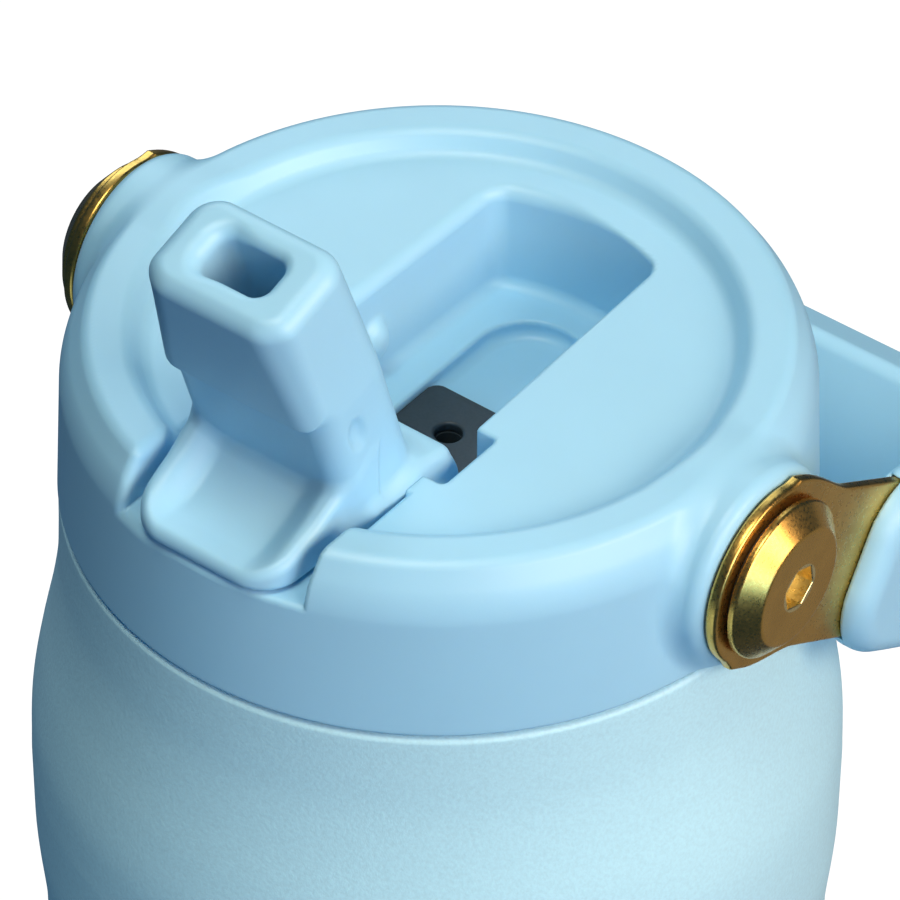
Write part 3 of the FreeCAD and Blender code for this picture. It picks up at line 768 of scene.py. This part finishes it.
def paddle_field(side, y, z):
    """Thumb paddle: a dished plate with a lip along each side. Along it, t goes
    from 0 at its root to 1 at its front edge."""
    t = np.clip((PADDLE_ROOT_Y - y) / (PADDLE_ROOT_Y - PADDLE_Y), DISH_START, 1)
    dip = DISH_Z + DISH_RISE * np.maximum(1 - t / DISH_END, 0) ** 2
    lip = LIP_RISE * ramp(side, *LIP_SIDE) * mix(1.0, LIP_LEAST, ramp(t, *LIP_FADES)) * ramp(t, *LIP_GROWS)
    top = (z - dip - lip) * TOP_STEEPNESS
    plan = meet(side - mix(PADDLE_W, PADDLE_W - PADDLE_TAPER, t), PADDLE_Y - y, PADDLE_CORNER)
    paddle = meet(plan, top, PADDLE_ROUND)
    paddle = meet(paddle, PADDLE_UNDER - z, PADDLE_UNDER_ROUND)
    return np.maximum(paddle, y - PADDLE_REAR_Y)


def dimple_field(x, along, front):
    tall = (along - DIMPLE_ALONG) / DIMPLE_STRETCH[0]
    wide = (front - DIMPLE_FRONT) / DIMPLE_STRETCH[1]
    return np.sqrt((x - DIMPLE_X) ** 2 + tall ** 2 + wide ** 2) - DIMPLE_R


def bore_field(side, along, front):
    """Bore through the mouthpiece and barrel, which widens a little towards the tip."""
    reach = np.clip((along - BORE_LOW) / (BORE_HIGH - BORE_LOW), 0, 1)
    centre = mix(BORE_FRONT - BORE_TAPER, BORE_FRONT, reach)
    half_width = mix(BORE_W - BORE_TAPER, BORE_W, reach)
    return meet(side - half_width, np.abs(front - centre) - BORE_HALF_T, BORE_CORNER)


def spout_field(p):
    x, y, z = p.T
    dy = y - HINGE_Y
    dz = z - HINGE_Z
    along = -dy * math.sin(LEAN) + dz * math.cos(LEAN)
    front = -dy * math.cos(LEAN) - dz * math.sin(LEAN)
    side = np.abs(x)
    around = np.hypot(dy, dz)

    barrel = meet(around - BARREL_R, side - BARREL_W, BARREL_ROUND)
    ears = meet(around - EAR_R, side - EAR_W, BARREL_ROUND)
    shelf = brick(x, y, z, (-SHELF_W, SHELF_W), (SHELF_Y0, SHELF_Y1), (HINGE_Z, SHELF_Z), SHELF_ROUND)
    form = join(mouthpiece(side, along, front), barrel, BARREL_FILLET)
    form = join(form, shelf, SHELF_FILLET)
    form = join(form, ears, EAR_FILLET)
    form = join(form, paddle_field(side, y, z), PADDLE_FILLET)
    form = carve(form, dimple_field(x, along, front), DIMPLE_ROUND)

    mouth_round = mix(MOUTH_ROUND_LEFT, MOUTH_ROUND_RIGHT, ramp(x, -BORE_W, 0))
    bore_round = mix(BORE_ROUND, mouth_round, ramp(along, *MOUTH_ROUND_SPAN))
    form = carve(form, bore_field(side, along, front), bore_round)
    pins = np.maximum(around - PIN_R, PIN_IN - side)
    return np.maximum(form, -pins)


def make_spout():
    low = (-EAR_W, PADDLE_Y, HINGE_Z - BARREL_R)
    high = (EAR_W, HINGE_Y + BARREL_R, SPOUT_HIGH)
    spout = sculpt("spout", spout_field, low, high, step=0.45)
    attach(spout, "spout")
    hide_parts("flip_spout")
    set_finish(spout, "lid_plastic")


# ---- handle: drawn in its own directions, side, reach and across --------
def loop_edge(side, reach, half_w, end, corner):
    """Distance outside a U that is open towards the pivot."""
    a = side - (half_w - corner)
    b = reach - (end - corner)
    outside = np.hypot(np.maximum(a, 0), np.maximum(b, 0))
    return outside + np.minimum(np.maximum(a, b), 0) - corner


def strap_band(side, reach):
    """Distance outside the strap's bent sheet, whatever its width."""
    edge = loop_edge(side, reach, EYE_X + STRAP_T, STRAP_END, STRAP_CORNER)
    return np.abs(edge + STRAP_T / 2) - STRAP_T / 2


def strap_field(p):
    x, reach, across = p.T
    eye = np.hypot(reach, across) - EYE_R
    width = np.maximum(np.abs(across) - STRAP_W, -reach)
    form = meet(join(eye, width, EYE_FILLET), strap_band(np.abs(x), reach), STRAP_ROUND)
    return carve(form, np.hypot(reach, across) - BUSH_R, EYE_HOLE_ROUND)


def grip_field(p):
    x, reach, across = p.T
    side = np.abs(x)
    outer = loop_edge(side, reach, GRIP_X_OUT, GRIP_OUT, GRIP_CORNER)
    inner = loop_edge(side, reach, GRIP_X_IN, GRIP_IN, GRIP_CORNER - GRIP_X_OUT + GRIP_X_IN)
    plan = meet(GRIP_START - reach, np.abs(across) - GRIP_W, GRIP_END_ROUND)
    outer_round = mix(GRIP_ROUND_START, GRIP_ROUND, ramp(reach, GRIP_START, GRIP_ROUND_END))
    form = meet(outer, plan, outer_round)
    form = meet(form, -inner, GRIP_IN_ROUND)
    slot = np.maximum(strap_band(side, reach), np.abs(across) - STRAP_W) - GRIP_PLAY
    return carve(form, slot, GRIP_SLOT_ROUND)


def make_handle():
    c = math.cos(HANDLE_DROP)
    s = math.sin(HANDLE_DROP)
    turn = np.array([[1, 0, 0], [0, c, s], [0, -s, c]])
    pivot = (0, 0, PIVOT_Z)
    low = (-EYE_X - STRAP_T, -EYE_R, -EYE_R)
    high = (EYE_X + STRAP_T, STRAP_END, EYE_R)
    strap = sculpt("strap", strap_field, low, high, 0.45, turn, pivot)
    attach(strap, "handle")
    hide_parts("bail_strap")
    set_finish(strap, "brass")
    low = (-GRIP_X_OUT, GRIP_START, -GRIP_W)
    high = (GRIP_X_OUT, GRIP_OUT, GRIP_W)
    grip = sculpt("grip", grip_field, low, high, 0.55, turn, pivot)
    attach(grip, "handle")
    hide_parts("handle_grip")
    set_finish(grip, "grip_plastic")


# ---- pivots ------------------------------------------------------------
def screw_field(p):
    """The screw on the +X side: a flat face inside a cone, a thin rim and a hex socket."""
    x, y, z = p.T
    dz = z - PIVOT_Z
    r = np.hypot(y, dz)
    rim = np.maximum(r - HEAD_R, HEAD_X - x)
    cone = slope(r, x, HEAD_R, HEAD_X + HEAD_LIP, HEAD_FACE_R, HEAD_FACE_X)
    head = meet(rim, cone, HEAD_ROUND)
    head = meet(head, x - HEAD_FACE_X, HEAD_ROUND)
    shank = np.maximum(r - SHANK_R, slab(x, INSERT_X, HEAD_X + HEAD_LIP))
    socket = HEAD_FACE_X - HEX_DEPTH - x
    for k in range(3):
        angle = math.radians(60 * k + HEX_TURN)
        flats = np.abs(y * math.cos(angle) + dz * math.sin(angle)) - HEX_AF / 2
        socket = np.maximum(socket, flats)
    return carve(np.minimum(head, shank), socket, HEAD_ROUND)


def make_screws():
    low = (INSERT_X, -HEAD_R, PIVOT_Z - HEAD_R)
    high = (HEAD_FACE_X, HEAD_R, PIVOT_Z + HEAD_R)
    for name, turn in (("screw_right", 0), ("screw_left", math.pi)):
        screw = sculpt(name, screw_field, low, high, step=0.25)
        screw.data.transform(Matrix.Rotation(turn, 4, "Z"))
        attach(screw, "lid")
        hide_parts("pivot_screws")
        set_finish(screw, "brass")


# ---- materials ---------------------------------------------------------
NOISE_LOW = 0.3  # a noise's value is nearly always between these
NOISE_HIGH = 0.7


def new_material(name):
    material = bpy.data.materials.new(name)
    material.use_nodes = True
    tree = material.node_tree
    return material, tree, tree.nodes["Principled BSDF"]


def noise(tree, scale, detail=2.0, roughness=0.5, stretch=None):
    """Noise over the object's own space, in metres; returns its value."""
    place = tree.nodes.new("ShaderNodeTexCoord")
    source = place.outputs["Object"]
    if stretch:
        mapping = tree.nodes.new("ShaderNodeMapping")
        mapping.inputs["Scale"].default_value = stretch
        tree.links.new(source, mapping.inputs["Vector"])
        source = mapping.outputs["Vector"]
    node = tree.nodes.new("ShaderNodeTexNoise")
    node.inputs["Scale"].default_value = scale
    node.inputs["Detail"].default_value = detail
    node.inputs["Roughness"].default_value = roughness
    tree.links.new(source, node.inputs["Vector"])
    return node.outputs["Fac"]


def blend_colours(tree, value, a, b, low=NOISE_LOW, high=NOISE_HIGH):
    """Colour from a to b as value goes from low to high."""
    node = tree.nodes.new("ShaderNodeValToRGB")
    node.color_ramp.elements[0].position = low
    node.color_ramp.elements[1].position = high
    node.color_ramp.elements[0].color = (*a, 1)
    node.color_ramp.elements[1].color = (*b, 1)
    tree.links.new(value, node.inputs["Fac"])
    return node.outputs["Color"]


def spread(tree, value, a, b, low=NOISE_LOW, high=NOISE_HIGH):
    """Number from a to b as value goes from low to high."""
    node = tree.nodes.new("ShaderNodeMapRange")
    node.inputs["From Min"].default_value = low
    node.inputs["From Max"].default_value = high
    node.inputs["To Min"].default_value = a
    node.inputs["To Max"].default_value = b
    tree.links.new(value, node.inputs["Value"])
    return node.outputs["Result"]


def bump(tree, value, strength, distance, below=None):
    """Normal bumped by value, over another bump if one is given."""
    node = tree.nodes.new("ShaderNodeBump")
    node.inputs["Strength"].default_value = strength
    node.inputs["Distance"].default_value = distance
    tree.links.new(value, node.inputs["Height"])
    if below is not None:
        tree.links.new(below, node.inputs["Normal"])
    return node.outputs["Normal"]


def set_surface(tree, shader, colour, roughness, normal):
    """Connect a material's colour, roughness and normal."""
    tree.links.new(colour, shader.inputs["Base Color"])
    tree.links.new(roughness, shader.inputs["Roughness"])
    tree.links.new(normal, shader.inputs["Normal"])


def shade(colour, factor):
    return tuple(c * factor for c in colour)


def moulded(name, colour, roughness, grain, depth):
    """Injection-moulded plastic: faint mottling and a fine satin grain."""
    material, tree, shader = new_material(name)
    mottle = noise(tree, scale=60, detail=3)
    fine = noise(tree, scale=grain, detail=2)
    tint = blend_colours(tree, mottle, shade(colour, 0.985), shade(colour, 1.015))
    satin = spread(tree, fine, roughness - 0.04, roughness + 0.04)
    set_surface(tree, shader, tint, satin, bump(tree, fine, strength=0.25, distance=depth))
    shader.inputs["Subsurface Weight"].default_value = 0.08
    shader.inputs["Subsurface Radius"].default_value = (0.4, 0.7, 1.0)
    shader.inputs["Subsurface Scale"].default_value = 0.002
    return material


def powder_coat(name, colour):
    """Powder-coated steel: a fine pebbled skin over a smooth undulation."""
    material, tree, shader = new_material(name)
    pebble = noise(tree, scale=1500, detail=2.5, roughness=0.6)
    orange_peel = noise(tree, scale=420)
    wave = noise(tree, scale=40)
    tint = blend_colours(tree, pebble, shade(colour, 0.94), shade(colour, 1.04), high=0.72)
    soft = bump(tree, orange_peel, strength=0.35, distance=0.00012)
    pebbled = bump(tree, pebble, strength=0.55, distance=0.00010, below=soft)
    set_surface(tree, shader, tint, spread(tree, wave, 0.46, 0.54), pebbled)
    return material


def brass_metal(name, colour, roughness, grain, depth):
    """Satin brass with a cast grain and a little tarnish."""
    material, tree, shader = new_material(name)
    fine = noise(tree, scale=grain, detail=3, roughness=0.6)
    patch = noise(tree, scale=160, detail=4)
    tint = blend_colours(tree, patch, shade(colour, 0.88), shade(colour, 1.05))
    satin = spread(tree, fine, roughness - 0.06, roughness + 0.08)
    set_surface(tree, shader, tint, satin, bump(tree, fine, strength=0.2, distance=depth))
    shader.inputs["Metallic"].default_value = 1.0
    return material


def reach_from_pivot(tree):
    """Distance from the pivot's axis, in metres."""
    place = tree.nodes.new("ShaderNodeTexCoord")
    flat = tree.nodes.new("ShaderNodeVectorMath")
    flat.operation = "MULTIPLY_ADD"
    flat.inputs[1].default_value = (0, 1, 1)
    flat.inputs[2].default_value = (0, 0, -(SEAM + PIVOT_Z) * TO_METRES)
    tree.links.new(place.outputs["Object"], flat.inputs[0])
    reach = tree.nodes.new("ShaderNodeVectorMath")
    reach.operation = "LENGTH"
    tree.links.new(flat.outputs["Vector"], reach.inputs[0])
    return reach.outputs["Value"]


def turned_brass(name, colour):
    """Brass turned on a lathe: fine rings about the pivot over a slight grain,
    and a painted highlight: the hex socket is coloured a brighter brass to stand in for the light bouncing
    inside it."""
    material, tree, shader = new_material(name)
    reach = reach_from_pivot(tree)
    rings = tree.nodes.new("ShaderNodeTexNoise")
    rings.noise_dimensions = "1D"
    rings.inputs["Scale"].default_value = 5200
    tree.links.new(reach, rings.inputs["W"])
    grain = noise(tree, scale=2200, detail=3, roughness=0.6)
    patch = noise(tree, scale=220, detail=3)
    tint = blend_colours(tree, patch, shade(colour, 0.92), shade(colour, 1.06))
    # painted highlight: towards the pivot's axis the colour is mixed into a brighter brass, standing in
    # for light bouncing inside the socket
    socket_highlight = tree.nodes.new("ShaderNodeMix")
    socket_highlight.data_type = "RGBA"
    socket_highlight_mask = spread(tree, reach, 0, 1, low=SOCKET_HIGHLIGHT_R * TO_METRES, high=(SOCKET_HIGHLIGHT_R - SOCKET_HIGHLIGHT_EDGE) * TO_METRES)
    tree.links.new(socket_highlight_mask, socket_highlight.inputs["Factor"])
    tree.links.new(tint, socket_highlight.inputs["A"])
    socket_highlight.inputs["B"].default_value = (*SOCKET_HIGHLIGHT_BRASS, 1)
    ringed = bump(tree, rings.outputs["Fac"], strength=0.12, distance=0.00003)
    grained = bump(tree, grain, strength=0.2, distance=0.00003, below=ringed)
    set_surface(tree, shader, socket_highlight.outputs["Result"], spread(tree, grain, 0.24, 0.36), grained)
    shader.inputs["Metallic"].default_value = 1.0
    return material


def bare_steel(name):
    """Steel brushed along the flask's height."""
    material, tree, shader = new_material(name)
    line = noise(tree, scale=900, detail=3, roughness=0.6, stretch=(1, 1, 0.04))
    tint = blend_colours(tree, line, STEEL_DARK, STEEL_LIGHT)
    brushed = bump(tree, line, strength=0.2, distance=0.00003)
    set_surface(tree, shader, tint, spread(tree, line, 0.26, 0.4), brushed)
    shader.inputs["Metallic"].default_value = 1.0
    return material


def rubbery(name, colour, roughness):
    """Silicone or nylon: soft mottling and a fine matte skin."""
    material, tree, shader = new_material(name)
    fine = noise(tree, scale=1800)
    mottle = noise(tree, scale=140, detail=3)
    tint = blend_colours(tree, mottle, shade(colour, 0.9), shade(colour, 1.1))
    matte = spread(tree, fine, roughness - 0.06, roughness + 0.06)
    set_surface(tree, shader, tint, matte, bump(tree, fine, strength=0.25, distance=0.00004))
    return material


def foam(name):
    """Blown foam with cells about a millimetre across."""
    material, tree, shader = new_material(name)
    cells = tree.nodes.new("ShaderNodeTexVoronoi")
    cells.inputs["Scale"].default_value = 700
    place = tree.nodes.new("ShaderNodeTexCoord")
    tree.links.new(place.outputs["Object"], cells.inputs["Vector"])
    depth = cells.outputs["Distance"]
    tint = blend_colours(tree, depth, FOAM_CELL, FOAM_WALL, low=0.1, high=0.8)
    tree.links.new(tint, shader.inputs["Base Color"])
    shader.inputs["Roughness"].default_value = 0.9
    tree.links.new(bump(tree, depth, strength=0.6, distance=0.0002), shader.inputs["Normal"])
    return material


def make_materials():
    """Materials by the name of the slot that they finish, and one for the screws."""
    return {
        "lid_plastic": moulded("lid_plastic", BLUE, roughness=0.42, grain=2600, depth=0.00002),
        "grip_plastic": moulded("grip_plastic", BLUE, roughness=0.44, grain=2400, depth=0.00002),
        "inner_plastic": moulded("inner_plastic", INNER_WHITE, roughness=0.35, grain=1800, depth=0.00002),
        "straw_plastic": moulded("straw_plastic", STRAW_CLEAR, roughness=0.25, grain=1500, depth=0.00001),
        "coated_steel": powder_coat("coated_steel", COAT_BLUE),
        "bare_steel": bare_steel("bare_steel"),
        "brass": brass_metal("brass", BRASS, roughness=0.3, grain=1400, depth=0.00006),
        "turned_brass": turned_brass("turned_brass", BRASS),
        "pale_silicone": rubbery("pale_silicone", PALE_GREY, roughness=0.55),
        "dark_silicone": rubbery("dark_silicone", DARK_GREY, roughness=0.5),
        "dark_nylon": rubbery("dark_nylon", DARK_BROWN, roughness=0.5),
        "foam": foam("foam"),
    }


def dress(materials):
    """Give each made piece and each carried-over node its slot's material."""
    slots = {part["node"]: part["material_slot"] for part in frame["record"]["subparts"]}
    for name, node in frame["nodes"].items():
        node.data.materials.clear()
        node.data.materials.append(materials[slots[name]])
    for piece in list(bpy.context.scene.objects):
        if "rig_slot" in piece:
            chosen = "turned_brass" if piece.name.startswith("screw") else piece["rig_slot"]
            piece.data.materials.clear()
            piece.data.materials.append(materials[chosen])


# ---- camera and studio -------------------------------------------------
def make_camera():
    data = bpy.data.cameras.new("camera")
    data.lens = CAMERA_LENS
    data.sensor_width = CAMERA_SENSOR
    data.clip_start = 0.05
    data.clip_end = 50
    camera = bpy.data.objects.new("camera", data)
    back = CAMERA_RIGHT.cross(CAMERA_UP).normalized()
    camera.matrix_world = Matrix((
        (CAMERA_RIGHT.x, CAMERA_UP.x, back.x, CAMERA_AT.x),
        (CAMERA_RIGHT.y, CAMERA_UP.y, back.y, CAMERA_AT.y),
        (CAMERA_RIGHT.z, CAMERA_UP.z, back.z, CAMERA_AT.z),
        (0, 0, 0, 1),
    ))
    bpy.context.scene.collection.objects.link(camera)
    bpy.context.scene.camera = camera


def area_light(name, place, aim, width, power, colour):
    """Square soft light that the camera doesn't see."""
    data = bpy.data.lights.new(name, "AREA")
    data.shape = "SQUARE"
    data.size = width
    data.energy = power
    data.color = colour
    light = bpy.data.objects.new(name, data)
    light.location = place
    light.rotation_mode = "QUATERNION"
    light.rotation_quaternion = (aim - place).to_track_quat("-Z", "Y")
    light.visible_camera = False
    bpy.context.scene.collection.objects.link(light)


def make_lights():
    for name, azimuth, height, width, power, colour in LIGHTS:
        level = math.cos(math.radians(height))
        aside = Vector((
            level * math.cos(math.radians(azimuth)),
            level * math.sin(math.radians(azimuth)),
            math.sin(math.radians(height)),
        ))
        area_light(name, CENTRE + LIGHT_REACH * aside, CENTRE, width, power, colour)
    for name, place, aim, width, power, colour in CARDS:
        area_light(name, Vector(place), Vector(aim), width, power, colour)


def stage_only(obj, tone, glow):
    """A floor or backdrop that the camera sees but that lights nothing."""
    material, _, shader = new_material(obj.name)
    shader.inputs["Base Color"].default_value = (tone, tone, tone, 1)
    shader.inputs["Roughness"].default_value = 0.9
    shader.inputs["Specular IOR Level"].default_value = 0.1
    shader.inputs["Emission Color"].default_value = (1, 1, 1, 1)
    shader.inputs["Emission Strength"].default_value = glow
    obj.data.materials.append(material)
    obj.visible_diffuse = False
    obj.visible_glossy = False
    obj.visible_shadow = False
    bpy.context.scene.collection.objects.link(obj)


def make_floor():
    corners = [(-ROOM, -ROOM, 0), (ROOM, -ROOM, 0), (ROOM, ROOM, 0), (-ROOM, ROOM, 0)]
    mesh = bpy.data.meshes.new("floor")
    mesh.from_pydata(corners, [], [(0, 1, 2, 3)])
    stage_only(bpy.data.objects.new("floor", mesh), FLOOR_TONE, FLOOR_GLOW)


def make_backdrop():
    mesh = bpy.data.meshes.new("backdrop")
    dome = bmesh.new()
    bmesh.ops.create_uvsphere(dome, u_segments=48, v_segments=24, radius=ROOM)
    dome.to_mesh(mesh)
    dome.free()
    stage_only(bpy.data.objects.new("backdrop", mesh), BACKDROP_TONE, BACKDROP_GLOW)


def make_world():
    """Faint light from all round."""
    world = bpy.data.worlds.new("studio")
    world.use_nodes = True
    world.node_tree.nodes["Background"].inputs["Color"].default_value = (*SKY, 1)
    bpy.context.scene.world = world


make_shell()
make_lid()
make_pad()
make_spout()
make_handle()
make_screws()
dress(make_materials())
make_camera()
make_floor()
make_backdrop()
make_world()
make_lights()
bpy.context.scene.view_settings.view_transform = "Standard"
